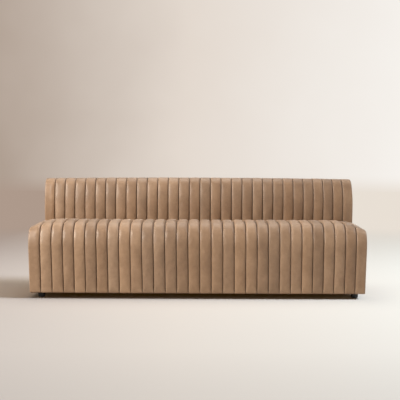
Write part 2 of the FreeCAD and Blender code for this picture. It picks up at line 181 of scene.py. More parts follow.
# The floor's faint warm glow: painted light in its shadows.
plaster.inputs["Emission Color"].default_value = (*painted_shadow_glow, 1.0)
plaster.inputs["Emission Strength"].default_value = 1.0
glow = put(tree, "Emission", ("Color", far_tint), Strength=1.0)
behind = put(tree, "MapRange", ("Value", axes.outputs["Y"]), interpolation_type="SMOOTHSTEP", From_Min=fade_start,
             From_Max=fade_end).outputs["Result"]
radius = put(tree, "VectorMath", (0, coords), operation="LENGTH").outputs["Value"]
around = put(tree, "MapRange", ("Value", radius), interpolation_type="SMOOTHSTEP", From_Min=ring_start,
             From_Max=ring_end).outputs["Result"]
away = put(tree, "Math", (0, behind), (1, around), operation="MAXIMUM").outputs["Value"]
fade = put(tree, "Math", (0, away), (1, eye), operation="MULTIPLY").outputs["Value"]
mixed = put(tree, "MixShader", ("Fac", fade), (1, plaster.outputs["BSDF"]), (2, glow.outputs["Emission"]))
finish_with(tree, mixed.outputs["Shader"])
wear(floor, floor_material)

bpy.ops.object.select_all(action="DESELECT")
bpy.ops.mesh.primitive_plane_add(size=2 * wall_height, location=(0, wall_distance, wall_height),
                                 rotation=(math.radians(90), 0, 0))
wall = bpy.context.object
wall.name = "studio_wall"
bpy.ops.object.transform_apply(location=True, rotation=True, scale=False)
wall_material = new_material("plaster_wall")
tree = wall_material.node_tree
coords = put(tree, "TexCoord").outputs["Object"]
axes = put(tree, "SeparateXYZ", ("Vector", coords))
cloud = put(tree, "TexNoise", ("Vector", coords), Scale=0.22, Detail=3.0).outputs["Fac"]
share = put(tree, "MapRange", ("Value", times(tree, cloud, wall_cloud, axes.outputs["X"])), From_Min=wall_span[0],
            From_Max=wall_span[1]).outputs["Result"]
# Painted light on the wall: darker to the left, lighter to the right.
high_tint = ramp(tree, share, [(0.0, plaster_painted_shade), (0.45, plaster_mid), (1.0, plaster_painted_light)])
low_tint = ramp(tree, share, list(zip((0.12, 0.45, 1.0), far_floor_tints)))
climb = put(tree, "MapRange", ("Value", axes.outputs["Z"]), interpolation_type="SMOOTHSTEP", From_Min=wall_foot,
            From_Max=wall_clear).outputs["Result"]
glow = put(tree, "Emission", ("Color", blend(tree, climb, low_tint, high_tint)), Strength=1.0)
dull = put(tree, "BsdfDiffuse", Color=(*plaster_mid, 1.0))
mixed = put(tree, "MixShader", ("Fac", seen_directly(tree)), (1, dull.outputs["BSDF"]),
            (2, glow.outputs["Emission"]))
finish_with(tree, mixed.outputs["Shader"])
wear(wall, wall_material)


# Studio light: a soft window lamp at the front left that is kept off the floor, a broad lamp overhead, a high
# one far to the right with another for the floor alone, which throw the bench's shadow to the left, and an
# even warm room.
room_light = 0.30
room_gloss = 0.9
room = bpy.data.worlds.new("studio_room")
bpy.context.scene.world = room
room.use_nodes = True
air = room.node_tree.nodes["Background"]
air.inputs["Color"].default_value = (1.0, 0.94, 0.86, 1.0)
strength = put(room.node_tree, "MapRange", ("Value", seen_directly(room.node_tree)), To_Min=room_light,
               To_Max=room_gloss)
room.node_tree.links.new(strength.outputs["Result"], air.inputs["Strength"])


def soft_lamp(name, place, aim, size, watts, colour):
    bpy.ops.object.select_all(action="DESELECT")
    turn = (Vector(aim) - Vector(place)).to_track_quat("-Z", "Y").to_euler()
    bpy.ops.object.light_add(type="AREA", location=place, rotation=turn)
    lamp = bpy.context.object
    lamp.name = name
    lamp.data.shape = "DISK"
    lamp.data.size = size
    lamp.data.energy = watts
    lamp.data.color = colour
    return lamp


def link_floor(lamp, state):
    """Keeps a lamp off the floor (EXCLUDE), or on the floor alone (INCLUDE)."""
    reach = bpy.data.collections.new(lamp.name + "_reach")
    reach.objects.link(floor)
    reach.collection_objects[0].light_linking.link_state = state
    lamp.light_linking.receiver_collection = reach


window_left = soft_lamp("window_left", (-4.0, -2.5, 2.45), (0.0, 0.0, 0.35), 1.6, 257, (1.0, 0.95, 0.88))
link_floor(window_left, "EXCLUDE")
soft_lamp("overhead", (-0.2, 0.75, 3.8), (-0.2, 0.0, 0.3), 3.0, 58, (1.0, 0.98, 0.95))
soft_lamp("high_right", (9.0, -0.4, 8.0), (-0.6, 0.0, 0.2), 2.4, 420, (1.0, 0.97, 0.94))
floor_right = soft_lamp("floor_right", (9.0, -1.5, 6.0), (-0.6, 0.0, 0.2), 2.8, 1729, (0.711, 0.828, 1.0))
link_floor(floor_right, "INCLUDE")


# The carcass inside the leather: birch plywood gables, ribs and panels, and beech rails and blocks,
# glued and screwed together. It stays as the solids are, with wood grain along each board.
plywood_nodes = ("left_gable", "right_gable", "rib_1", "rib_2", "rib_3", "front_panel", "rear_panel", "back_shell")
beech_nodes = ("seat_front_rail", "seat_rear_rail", "base_front_rail", "base_rear_rail", "back_mid_rail",
               "back_top_rail", "corner_block_front_left", "corner_block_front_right",
               "corner_block_rear_left", "corner_block_rear_right")


def wood(name, light, dark, stretch, ply_scale):
    """Planed wood with its grain drawn out along one axis, and faint plies across it."""
    made = new_material(name)
    tree = made.node_tree
    coords = put(tree, "TexCoord").outputs["Object"]
    drawn = put(tree, "Mapping", ("Vector", coords), Scale=stretch).outputs["Vector"]
    grain = put(tree, "TexNoise", ("Vector", drawn), Scale=30.0, Detail=6.0, Distortion=0.6).outputs["Fac"]
    plies = put(tree, "TexWave", ("Vector", coords), Scale=ply_scale, Distortion=1.5).outputs["Fac"]
    mask = put(tree, "Math", (0, grain), (1, plies), operation="MULTIPLY_ADD")
    mask.inputs[2].default_value = 0.2
    tint = ramp(tree, mask.outputs["Value"], [(0.25, dark), (0.8, light)])
    rough = put(tree, "MapRange", ("Value", grain), To_Min=0.5, To_Max=0.7).outputs["Result"]
    bump = put(tree, "Bump", ("Height", grain), Strength=0.15, Distance=0.001).outputs["Normal"]
    board = put(tree, "BsdfPrincipled", ("Base Color", tint), ("Roughness", rough), ("Normal", bump))
    finish_with(tree, board.outputs["BSDF"])
    return made


birch_plywood = wood("birch_plywood", (0.62, 0.46, 0.30), (0.44, 0.30, 0.18), (1.0, 0.15, 1.0), 90.0)
planed_beech = wood("planed_beech", (0.56, 0.38, 0.23), (0.38, 0.23, 0.13), (0.05, 1.0, 1.0), 12.0)
for node in plywood_nodes:
    wear(nodes[node], birch_plywood)
for node in beech_nodes:
    wear(nodes[node], planed_beech)


# Springs, clips, screws, studs and tee nuts: dark oiled spring wire and bright zinc-plated steel,
# all inside the carcass.
def steel(name, colour, rough_low, rough_high):
    made = new_material(name)
    tree = made.node_tree
    coords = put(tree, "TexCoord").outputs["Object"]
    spots = put(tree, "TexNoise", ("Vector", coords), Scale=240.0, Detail=5.0).outputs["Fac"]
    rough = put(tree, "MapRange", ("Value", spots), To_Min=rough_low, To_Max=rough_high).outputs["Result"]
    tint = ramp(tree, spots, [(0.3, [c * 0.8 for c in colour]), (0.7, colour)])
    metal = put(tree, "BsdfPrincipled", ("Base Color", tint), ("Roughness", rough), Metallic=1.0)
    finish_with(tree, metal.outputs["BSDF"])
    return made


oiled_wire = steel("oiled_wire", (0.17, 0.17, 0.18), 0.35, 0.55)
zinc_plate = steel("zinc_plate", (0.63, 0.63, 0.60), 0.25, 0.45)
for node in ("seat_springs", "spring_clips"):
    wear(nodes[node], oiled_wire)
for node in ("gable_screws", "foot_studs", "foot_tee_nuts"):
    wear(nodes[node], zinc_plate)


# Foam, backing cloth and felt under the leather: cut foam slabs with open cells, plain woven cloth,
# and grey needled felt, glued in layers. None of it shows.
def soft_fill(name, light, dark, cell_scale, depth):
    made = new_material(name)
    tree = made.node_tree
    coords = put(tree, "TexCoord").outputs["Object"]
    cells = put(tree, "TexVoronoi", ("Vector", coords), Scale=cell_scale).outputs["Distance"]
    cloud = put(tree, "TexNoise", ("Vector", coords), Scale=14.0, Detail=4.0).outputs["Fac"]
    tint = ramp(tree, cloud, [(0.3, dark), (0.7, light)])
    bump = put(tree, "Bump", ("Height", cells), Strength=0.5, Distance=depth).outputs["Normal"]
    fill = put(tree, "BsdfPrincipled", ("Base Color", tint), ("Normal", bump), Roughness=0.95)
    finish_with(tree, fill.outputs["BSDF"])
    return made


cut_foam = soft_fill("cut_foam", (0.82, 0.76, 0.58), (0.70, 0.62, 0.44), 420.0, 0.001)
woven_backing = soft_fill("woven_backing", (0.74, 0.72, 0.68), (0.62, 0.60, 0.56), 900.0, 0.0004)
needled_felt = soft_fill("needled_felt", (0.46, 0.45, 0.44), (0.34, 0.33, 0.32), 650.0, 0.0008)
for node in ("seat_foam", "front_foam", "back_foam"):
    wear(nodes[node], cut_foam)
for node in ("seat_backing", "back_backing"):
    wear(nodes[node], woven_backing)
for node in ("rear_felt", "spring_insulator"):
    wear(nodes[node], needled_felt)


# The four feet: turned black feet with a satin finish, each on a thin plastic glide.
# They keep the solids' shape, with fine scuffs in the finish.
satin_black = new_material("satin_black")
tree = satin_black.node_tree
coords = put(tree, "TexCoord").outputs["Object"]
scuff = put(tree, "TexNoise", ("Vector", coords), Scale=180.0, Detail=6.0, Roughness=0.7).outputs["Fac"]
foot_rough = put(tree, "MapRange", ("Value", scuff), To_Min=0.38, To_Max=0.58).outputs["Result"]
foot_tint = ramp(tree, scuff, [(0.35, (0.004, 0.004, 0.005)), (0.75, (0.010, 0.010, 0.011))])
foot_bump = put(tree, "Bump", ("Height", scuff), Strength=0.08, Distance=0.0004).outputs["Normal"]
paint = put(tree, "BsdfPrincipled", ("Base Color", foot_tint), ("Roughness", foot_rough), ("Normal", foot_bump))
finish_with(tree, paint.outputs["BSDF"])
glide_black = new_material("glide_black")
tree = glide_black.node_tree
coords = put(tree, "TexCoord").outputs["Object"]
speck = put(tree, "TexNoise", ("Vector", coords), Scale=700.0, Detail=3.0).outputs["Fac"]
glide_tint = ramp(tree, speck, [(0.3, (0.03, 0.03, 0.03)), (0.7, (0.06, 0.06, 0.06))])
glide = put(tree, "BsdfPrincipled", ("Base Color", glide_tint), Roughness=0.6)
finish_with(tree, glide.outputs["BSDF"])
for corner in ("front_left", "front_right", "rear_left", "rear_right"):
    wear(nodes["foot_" + corner], satin_black)
    wear(nodes["foot_glide_" + corner], glide_black)


# The seat's leather: strips of tan hide sewn edge to edge into upright channels, stuffed, and drawn from
# the crease over the seat, round the nose and down the front, then turned under the front rail.
bench_width = 2.134
channel_count = 30
channel_steps = 16
lobe_rise = 0.0125
seam_depth = 0.0045
crown_rise = 0.008
leather = 0.0016
seat_crest_z = 0.4700
seat_rake = math.radians(4.8)
nose_arcs = ((0.800, 8.0, 9, 1.0), (0.075, 66.0, 12, 0.6), (0.200, 93.5, 9, 0.0))
nose_seam_y = -0.320
hem_floor = 0.034
hem_round = 0.012
hem_settle = 0.030
hem_flatness = (0.85, 0.90, 0.95)
tuck_end_y = -0.2575
crease_y = 0.186
crease_run = 0.024
crease_dip = 0.002
crease_ease = 0.08
crest_plump = -0.5
seat_ends = {-1: (0.002, 14.0, 0.5), 1: (-0.001, 7.5, 0.5)}
end_droop = {-1: (0.17, 0.040), 1: (0.19, 0.047)}
nose_lift_y, nose_lift_run = -0.235, 0.08
left_swell = 0.006
front_taper = 0.0065
hem_drift = 0.005
seat_flap_low = -0.016
backing_half = 1.0551
backing_turn = (-0.2820, 0.4042, 0.0237)
backing_blend = (-0.2149, 0.1350, 0.3010)
backing_turn_y = -0.2877
backing_clear = 0.0024
sewn_lean = 0.88
stuffing_pressure = 4.0
spare_leather = 0.004
stuffing_frames = 20
stuffing_cap = 0.004
flap_steps = ((1.0, 0.0035), (0.6, 0.0012), (0.25, 0.0003))
seam_bow, seam_shift = 0.0087, 0.0104
seam_wander = 0.0014
seam_sharpness = 24
groove_power, shoulder_power = 26, 6
roundness, plump_roundness = 0.30, 0.45
pucker_rise, pucker_width = 0.0014, 0.22
ripple_rise = 0.0012
flat_share, swell_share = 0.8, 0.10
seat_level, seat_tilt = 0.0070, 0.0022
rear_hold, nose_hold = 0.9, 0.5
half_width = bench_width / 2


def seam_place(number):
    """Where a seam lies along the bench: the strips are not all quite the same width."""
    share = number / channel_count
    drift = seam_bow * math.sin(math.pi * share) - seam_shift * math.sin(2 * math.pi * share)
    return -half_width + share * bench_width + drift


def channel_columns(ends, flap_low):
    """The columns of a channelled skin: its end flaps, then each channel from seam to seam."""
    def flaps(side):
        edge = ends[side][0]
        return [(side * (half_width - tuck), edge + (flap_low - edge) * share, None, 0.0)
                for share, tuck in flap_steps]

    columns = flaps(-1)
    for channel in range(channel_count):
        left, right = seam_place(channel), seam_place(channel + 1)
        for step in range(channel_steps + (channel == channel_count - 1)):
            share = 0.5 - 0.5 * math.cos(math.pi * step / channel_steps)
            columns.append((left + (right - left) * share, 0.0, channel, 2 * share - 1))
    return columns + flaps(1)[::-1]


def lobe_height(x, channel, across, along, flat, ends):
    """How far a channel stands over the seam line: nearly flat, with soft shoulders and a tight sewn groove."""
    inner = min(abs(across), 1.0)
    groove = (1 - inner ** groove_power) ** 0.5
    shoulder = 1 - inner ** shoulder_power
    softness = roundness - plump_roundness * min(flat, 0.0)
    shape = (1 - softness) * groove + softness * shoulder
    valley = -seam_depth + flat * (flat_share * lobe_rise + seam_depth)
    if (channel == 0 and across < 0) or (channel == channel_count - 1 and across > 0):
        valley, power, soft = ends[-1 if across < 0 else 1]
        shape = (1 - inner ** power) ** soft
    swell = 1 + swell_share * noise.noise((channel * 3.1, along * 2.3, 5.0))
    height = valley + (lobe_rise * swell - valley) * shape
    side = channel * 2 + (1 if across > 0 else 0)
    near_seam = math.exp(-((1 - inner) / pucker_width) ** 2) * (1 - inner) * 4
    height += pucker_rise * near_seam * noise.noise((side * 11.7, along * 26.0, 9.0))
    height += ripple_rise * shape * noise.noise((x * 9.0, along * 7.0, 2.0))
    return height


def crown(x):
    return crown_rise * (1 - (x / half_width) ** 2)


def select_only(piece):
    bpy.ops.object.select_all(action="DESELECT")
    piece.select_set(True)
    bpy.context.view_layer.objects.active = piece


def channelled_skin(name, rows, seed, ends, flap_low, darker, free_rows):
    """A grid bent over rows of (place, how far along, how flat) and puffed into channels."""
    columns = channel_columns(ends, flap_low)
    bpy.ops.object.select_all(action="DESELECT")
    bpy.ops.mesh.primitive_grid_add(x_subdivisions=len(columns) - 1, y_subdivisions=len(rows) - 1, size=2)
    skin = bpy.context.object
    skin.name = name
    draw = random.Random(seed)
    # A skin's tones can be shifted darker as a whole, which paints shade on it.
    tones = [(draw.uniform(0, 1) - darker, draw.uniform(0, 1)) for _ in range(channel_count)]
    marks = skin.data.color_attributes.new("hide", "FLOAT_COLOR", "POINT")
    sewn = []
    for number, vertex in enumerate(skin.data.vertices):
        column = round((vertex.co.x + 1) / 2 * (len(columns) - 1))
        row = round((vertex.co.y + 1) / 2 * (len(rows) - 1))
        x, height, channel, lean = columns[column]
        place, along, flat = rows[row]
        seam_mask, outer = 0.0, False
        tone = tones[0] if x < 0 else tones[-1]
        if channel is not None:
            height = lobe_height(x, channel, lean, along, flat, ends)
            outer = (channel == 0 and lean < 0) or (channel == channel_count - 1 and lean > 0)
            seam_mask = 0.0 if outer else abs(lean) ** seam_sharpness
            tone = tones[channel]
            line = channel if lean < 0 else channel + 1
            x += seam_wander * noise.noise((line * 5.7, along * 5.0, 3.0)) * abs(lean) ** 2 * (not outer)
        vertex.co = place(x, height + crown(x))
        marks.data[number].color = (tone[0], seam_mask, tone[1], along)
        if channel is None or outer or abs(lean) > sewn_lean or not free_rows[0] <= row < free_rows[1]:
            sewn.append(number)
    skin.vertex_groups.new(name="sewn").add(sewn, 1.0, "REPLACE")
    return skin


def stuff(skin):
    """Blows the stuffed channels up a little between their sewn lines, as cloth, each point within a cap."""
    select_only(skin)
    start = [vertex.co.copy() for vertex in skin.data.vertices]
    cloth = skin.modifiers.new("stuffing", "CLOTH")
    settings = cloth.settings
    settings.quality = 5
    settings.mass = 0.3
    settings.tension_stiffness = settings.compression_stiffness = 15
    settings.shear_stiffness = 5
    settings.bending_stiffness = 0.5
    settings.use_pressure = True
    settings.uniform_pressure_force = stuffing_pressure
    settings.vertex_group_mass = "sewn"
    settings.shrink_min = -spare_leather
    settings.effector_weights.gravity = 0
    cloth.collision_settings.use_collision = False
    cloth.point_cache.frame_start, cloth.point_cache.frame_end = 1, stuffing_frames
    for moment in range(1, stuffing_frames + 1):
        bpy.context.scene.frame_set(moment)
    bpy.ops.object.modifier_apply(modifier=cloth.name)
    for vertex, old in zip(skin.data.vertices, start):
        move = vertex.co - old
        if move.length > 1e-7:
            vertex.co = old + move.normalized() * stuffing_cap * math.tanh(move.length / stuffing_cap)
    bpy.context.scene.frame_set(1)


def over(y, z, angle):
    """A row whose outward normal leans forward by angle from straight up."""
    return lambda x, height: (x, y - math.sin(angle) * height, z + math.cos(angle) * height)


def arc_rows(centre_y, centre_z, radius, start, end, steps, along, flatness=lambda share: 0.0):
    """Rows round an arc, from the start angle up to but not at the end one."""
    rows = []
    for step in range(steps):
        angle = start + (end - start) * step / steps
        rows.append((over(centre_y - radius * math.sin(angle), centre_z + radius * math.cos(angle), angle),
                     along + radius * abs(angle - start), flatness(step / steps)))
    return rows


def nose_run(crest_y):
    """Rows from the back of the crest round the nose, each arc in line with the last, and where they end."""
    radius, angle = nose_arcs[0][0], -seat_rake
    centre_y, centre_z = crest_y, seat_crest_z - radius
    along = crease_y - crest_y
    rows = []
    for next_radius, end_deg, steps, plump_share in nose_arcs:
        if rows:
            centre_y -= (radius - next_radius) * math.sin(angle)
            centre_z += (radius - next_radius) * math.cos(angle)
        radius, end = next_radius, math.radians(end_deg)
        plump = crest_plump * plump_share
        rows += arc_rows(centre_y, centre_z, radius, angle, end, steps, along, lambda share: plump)
        along += radius * (end - angle)
        angle = end
    end_y, end_z = centre_y - radius * math.sin(angle), centre_z + radius * math.cos(angle)
    return rows, centre_y - radius, end_y, end_z, along


nose_end = math.radians(nose_arcs[-1][1])
crest_y = nose_seam_y - nose_run(0.0)[1]
nose_rows, _, front_y, front_z, nose_along = nose_run(crest_y)
front_slope = math.tan(nose_end - math.pi / 2)
hem_z = hem_floor + hem_round
hem_y = front_y + (front_z - hem_z) * front_slope

top_start_y = crest_y + nose_arcs[0][0] * math.sin(seat_rake)
top_start_z = seat_crest_z - nose_arcs[0][0] * (1 - math.cos(seat_rake))


def seat_line(y, dip, along):
    """A row on the seat's slope, which falls from the crest towards the back."""
    plump = crest_plump * min((crease_y - y) / crease_ease, 1.0)
    return over(y, top_start_z - (y - top_start_y) * math.tan(seat_rake) - dip, -seat_rake), along, plump


crease_rows = [seat_line(crease_y - crease_run * step / 5, crease_dip * (1 - step / 5) ** 2, crease_run * step / 5)
               for step in range(5)]
seat_top_y = crease_y - crease_run
top_rows = []
for step in range(20):
    y = seat_top_y + (top_start_y - seat_top_y) * step / 20
    top_rows.append(seat_line(y, 0.0, crease_y - y))
along = nose_along
front_drop = front_z - hem_z - hem_settle
front_rows = [(over(front_y + front_drop * step / 24 * front_slope, front_z - front_drop * step / 24, nose_end),
               along + front_drop * step / 24, 0.0) for step in range(24)]
along += front_drop


def hem_turn(angle):
    return lambda x, height: (x, hem_y - height + hem_round * (1 - math.cos(angle)),
                              hem_floor + hem_round * (1 - math.sin(angle)))


def hem_under(share):
    return lambda x, height: (x, (hem_y - height + hem_round) * (1 - share) + tuck_end_y * share, hem_floor)


hem_rows = []
for step in range(7):
    share = step / 6
    z = hem_z + hem_settle * (1 - share)
    hem_rows.append((over(front_y + (front_z - z) * front_slope, z, nose_end + (math.pi / 2 - nose_end) * share),
                     along + hem_settle * share, hem_flatness[0] * share * share * (3 - 2 * share)))
along += hem_settle
for step in range(1, 7):
    hem_rows.append((hem_turn(math.pi / 2 * step / 6), along + hem_round * math.pi / 2 * step / 6, hem_flatness[1]))
for step in range(1, 4):
    hem_rows.append((hem_under(step / 3), along + 0.02 + 0.014 * step, hem_flatness[2]))


def settled(place):
    """The seat as used: lower at the right, rounded off at both ends, fuller at the left, narrower at its hem."""
    x, y, z = place
    lift = min(max((z - hem_floor) / (seat_crest_z + 0.012 - hem_floor), 0.0), 1.0)
    reach, fall = end_droop[-1 if x < 0 else 1]
    near_end = min(max((abs(x) - half_width + reach) / reach, 0.0), 1.1)
    behind = min(max((y - crest_y) / (crease_y - crest_y), 0.0), 1.0)
    level = seat_level - seat_tilt * x - crown(x)
    ahead = min(max((nose_lift_y - y) / nose_lift_run, 0.0), 1.0)
    x += (1 - lift) * (hem_drift * (1 - (x / half_width) ** 2) - front_taper * x)
    if x < 0:
        x -= left_swell * min(near_end, 1.0) * (1 - behind ** 3)
    return x, y, z + lift * (level - fall * near_end ** 2 * (1 - rear_hold * behind) * (1 - nose_hold * ahead))


def clear_of_backing(place):
    """Keeps the leather outside the backing cloth that it is sewn to, on the seat and round the nose."""
    x, y, z = place
    if abs(x) > backing_half or z < backing_turn[1]:
        return x, y, z
    centre_y, centre_z, radius = backing_turn if y < backing_turn_y else backing_blend
    radius += backing_clear
    if y > centre_y:
        return x, y, max(z, centre_z + radius)
    out = Vector((y - centre_y, z - centre_z))
    if out.length < radius:
        out *= radius / out.length
    return x, centre_y + out.x, centre_z + out.y


cool_hide = [(0.44, (0.243, 0.152, 0.092)), (0.65, (0.310, 0.198, 0.123)), (0.86, (0.386, 0.255, 0.165))]
warm_hide = [(0.44, (0.258, 0.150, 0.083)), (0.65, (0.324, 0.197, 0.113)), (0.86, (0.396, 0.250, 0.151))]
# Painted shade: the seams are darkened almost to black, standing in for the shadow in the sewn grooves.
seam_painted_shade, seam_shade_share = (0.060, 0.034, 0.019), 0.95
thread_colour = (0.15, 0.09, 0.05)
stitch_pitch = 0.005
tone_share, patch_share, cloud_share = 0.24, 0.75, 0.32
pebble_height, crease_height, thread_height = 2.2, 2.0, 1.5


def hide_group():
    """Tan hide as values over the surface: colour with painted shade along the seams, roughness and grain height.
    """
    group = bpy.data.node_groups.new("tan_hide", "ShaderNodeTree")
    for name in ("Tone", "Seam", "Warmth", "Along"):
        group.interface.new_socket(name, in_out="INPUT", socket_type="NodeSocketFloat")
    group.interface.new_socket("Color", in_out="OUTPUT", socket_type="NodeSocketColor")
    group.interface.new_socket("Roughness", in_out="OUTPUT", socket_type="NodeSocketFloat")
    group.interface.new_socket("Height", in_out="OUTPUT", socket_type="NodeSocketFloat")
    entry = group.nodes.new("NodeGroupInput").outputs
    leave = group.nodes.new("NodeGroupOutput").inputs
    coords = put(group, "TexCoord").outputs["Object"]
    own = put(group, "CombineXYZ", ("X", entry["Tone"]), ("Y", entry["Warmth"])).outputs["Vector"]
    away = put(group, "VectorMath", (0, own), operation="SCALE", Scale=9.0).outputs["Vector"]
    cut = put(group, "VectorMath", (0, coords), (1, away), operation="ADD").outputs["Vector"]
    patch = put(group, "TexNoise", ("Vector", cut), Scale=9.0, Detail=4.0, Roughness=0.55).outputs["Fac"]
    cloud = put(group, "TexNoise", ("Vector", cut), Scale=55.0, Detail=6.0, Roughness=0.65).outputs["Fac"]
    tone = times(group, patch, patch_share, times(group, entry["Tone"], tone_share))
    tone = times(group, cloud, cloud_share, tone)
    hide = blend(group, entry["Warmth"], ramp(group, tone, cool_hide), ramp(group, tone, warm_hide))
    # Painted shade in the seam grooves.
    seam_shaded = blend(group, times(group, entry["Seam"], seam_shade_share), hide, seam_painted_shade)
    beat = times(group, entry["Along"], 2 * math.pi / stitch_pitch)
    dash = put(group, "Math", (0, beat), operation="SINE").outputs["Value"]
    dash_mask = put(group, "MapRange", ("Value", dash), From_Min=-0.3, From_Max=0.0).outputs["Result"]
    at_seam = put(group, "MapRange", ("Value", entry["Seam"]), From_Min=0.90, From_Max=0.97).outputs["Result"]
    thread = put(group, "Math", (0, dash_mask), (1, at_seam), operation="MULTIPLY").outputs["Value"]
    group.links.new(blend(group, thread, seam_shaded, thread_colour), leave["Color"])
    pebble = put(group, "TexVoronoi", ("Vector", coords), Scale=620.0,
                 feature="DISTANCE_TO_EDGE").outputs["Distance"]
    pores = put(group, "TexNoise", ("Vector", coords), Scale=1400.0, Detail=2.0).outputs["Fac"]
    crease_map = put(group, "Mapping", ("Vector", cut), Scale=(1.0, 2.2, 2.2)).outputs["Vector"]
    crease = put(group, "TexNoise", ("Vector", crease_map), Scale=26.0, Detail=5.0, Distortion=1.2).outputs["Fac"]
    grain = times(group, pebble, pebble_height, pores)
    grain = times(group, crease, crease_height, grain)
    group.links.new(times(group, thread, thread_height, grain), leave["Height"])
    rough = put(group, "MapRange", ("Value", cloud), To_Min=0.38, To_Max=0.56).outputs["Result"]
    group.links.new(rough, leave["Roughness"])
    return group


def hide_material(name, group):
    """Semi-matt tan leather, toned strip by strip from the skin's own marks, with painted shade along the seams."""
    made = new_material(name)
    tree = made.node_tree
    marks = put(tree, "Attribute", attribute_name="hide")
    parts = put(tree, "SeparateColor", ("Color", marks.outputs["Color"]))
    hide = tree.nodes.new("ShaderNodeGroup")
    hide.node_tree = group
    tree.links.new(parts.outputs["Red"], hide.inputs["Tone"])
    tree.links.new(parts.outputs["Green"], hide.inputs["Seam"])
    tree.links.new(parts.outputs["Blue"], hide.inputs["Warmth"])
    tree.links.new(marks.outputs["Alpha"], hide.inputs["Along"])
    bump = put(tree, "Bump", ("Height", hide.outputs["Height"]), Strength=0.22, Distance=0.0006).outputs["Normal"]
    skin = put(tree, "BsdfPrincipled", ("Base Color", hide.outputs["Color"]),
               ("Roughness", hide.outputs["Roughness"]), ("Normal", bump))
    skin.inputs["Specular IOR Level"].default_value = 0.6
    skin.inputs["Sheen Weight"].default_value = 0.15
    skin.inputs["Sheen Roughness"].default_value = 0.45
    finish_with(tree, skin.outputs["BSDF"])
    return made


def give_thickness(skin, thickness, outward=None):
    """Gives a skin an inside, with its outside left where it is and facing outward where that is given."""
    select_only(skin)
    bpy.ops.object.mode_set(mode="EDIT")
    bpy.ops.mesh.select_all(action="SELECT")
    if outward is None:
        bpy.ops.mesh.normals_make_consistent(inside=False)
    elif skin.data.polygons[0].normal.dot(Vector(outward)) < 0:
        bpy.ops.mesh.flip_normals()
    bpy.ops.object.mode_set(mode="OBJECT")
    wall = skin.modifiers.new("thickness", "SOLIDIFY")
    wall.thickness = thickness
    wall.offset = -1.0
    bpy.ops.object.modifier_apply(modifier=wall.name)
    bpy.ops.object.shade_smooth_by_angle(angle=math.radians(60))


seat_rows = (crease_rows + top_rows + nose_rows + front_rows + hem_rows)[::-1]
seat_leather = channelled_skin("seat_leather", seat_rows, 11, seat_ends, seat_flap_low, 0.0,
                               (len(hem_rows), len(seat_rows) - 2))
for vertex in seat_leather.data.vertices:
    vertex.co = clear_of_backing(settled(vertex.co))
stuff(seat_leather)
tan_hide = hide_group()
wear(seat_leather, hide_material("seat_hide", tan_hide))
give_thickness(seat_leather, leather)
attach(seat_leather, "root")
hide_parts("seat_cover", "seat_channel_pad")


# The back's leather: the same sewn strips, rising from the crease, rolling over the top of the back,
# and turned in on the rear a few centimetres below its top edge.
back_seam_y = 0.174
back_seam_z = 0.742
rear_seam_y = 0.320
back_start_z = 0.438
rear_edge_radius = 0.016
lean_radius, roll_radius = 0.380, 0.050
lean_end = math.radians(72)
tuck_radius = 1.600
tuck_plump = -0.2
roll_tightness = 0.8
wrap_end_z = 0.6965
wrap_settle = 0.024
wrap_round = 0.006
wrap_flatness = 0.9
back_ends = {-1: (-0.001, 16.0, 0.5), 1: (-0.001, 16.0, 0.5)}
back_flap_low = -0.013
end_pull = 0.008
pull_start_x, pull_start_z = 0.55, 0.60

lean_y = back_seam_y + lean_radius
roll_y = lean_y - (lean_radius - roll_radius) * math.sin(lean_end)
roll_z = back_seam_z - roll_radius
lean_z = roll_z - (lean_radius - roll_radius) * math.cos(lean_end)
edge_y, edge_z = rear_seam_y - rear_edge_radius, back_seam_z - rear_edge_radius
tuck_end = math.pi / 2 + math.asin((lean_z - back_start_z) / tuck_radius)
rise_rows = arc_rows(back_seam_y + tuck_radius, lean_z, tuck_radius, tuck_end, math.pi / 2, 14, 0.0,
                     lambda share: tuck_plump * (1 - share))
along = tuck_radius * (tuck_end - math.pi / 2)
roll_rows = arc_rows(lean_y, lean_z, lean_radius, math.pi / 2, lean_end, 14, along)
along += lean_radius * (math.pi / 2 - lean_end)
roll_rows += arc_rows(roll_y, roll_z, roll_radius, lean_end, 0.0, 14, along, lambda share: roll_tightness * share)
along += roll_radius * lean_end
roll_rows += [(over(roll_y + (edge_y - roll_y) * step / 5, back_seam_z, 0.0), along + (edge_y - roll_y) * step / 5,
               roll_tightness) for step in range(5)]
along += edge_y - roll_y
edge_rows = arc_rows(edge_y, edge_z, rear_edge_radius, 0.0, -math.pi / 2, 8, along, lambda share: roll_tightness)
along += rear_edge_radius * math.pi / 2


def wrap_turn(angle):
    return lambda x, height: (x, rear_seam_y + height - wrap_round * (1 - math.cos(angle)),
                              wrap_end_z - wrap_round * 0.4 * math.sin(angle))


wrap_rows = []
for step in range(7):
    z = edge_z + (wrap_end_z - edge_z) * step / 6
    flat = min(max((wrap_end_z + wrap_settle - z) / wrap_settle, 0.0), 1.0)
    wrap_rows.append((over(rear_seam_y, z, -math.pi / 2), along + edge_z - z,
                      roll_tightness + (wrap_flatness - roll_tightness) * flat))
along += edge_z - wrap_end_z
for step in range(1, 5):
    wrap_rows.append((wrap_turn(math.pi * 0.6 * step / 4), along + wrap_round * step / 2, wrap_flatness))


def drawn_in(place):
    """The back as sewn: its right end drawn in a little towards the top."""
    x, y, z = place
    end = min(max((x - pull_start_x) / (half_width - pull_start_x), 0.0), 1.0)
    rise = min(max((z - pull_start_z) / (back_seam_z + lobe_rise - pull_start_z), 0.0), 1.0)
    return x - end_pull * end ** 1.5 * rise ** 1.2, y, z


back_rows = rise_rows + roll_rows + edge_rows + wrap_rows
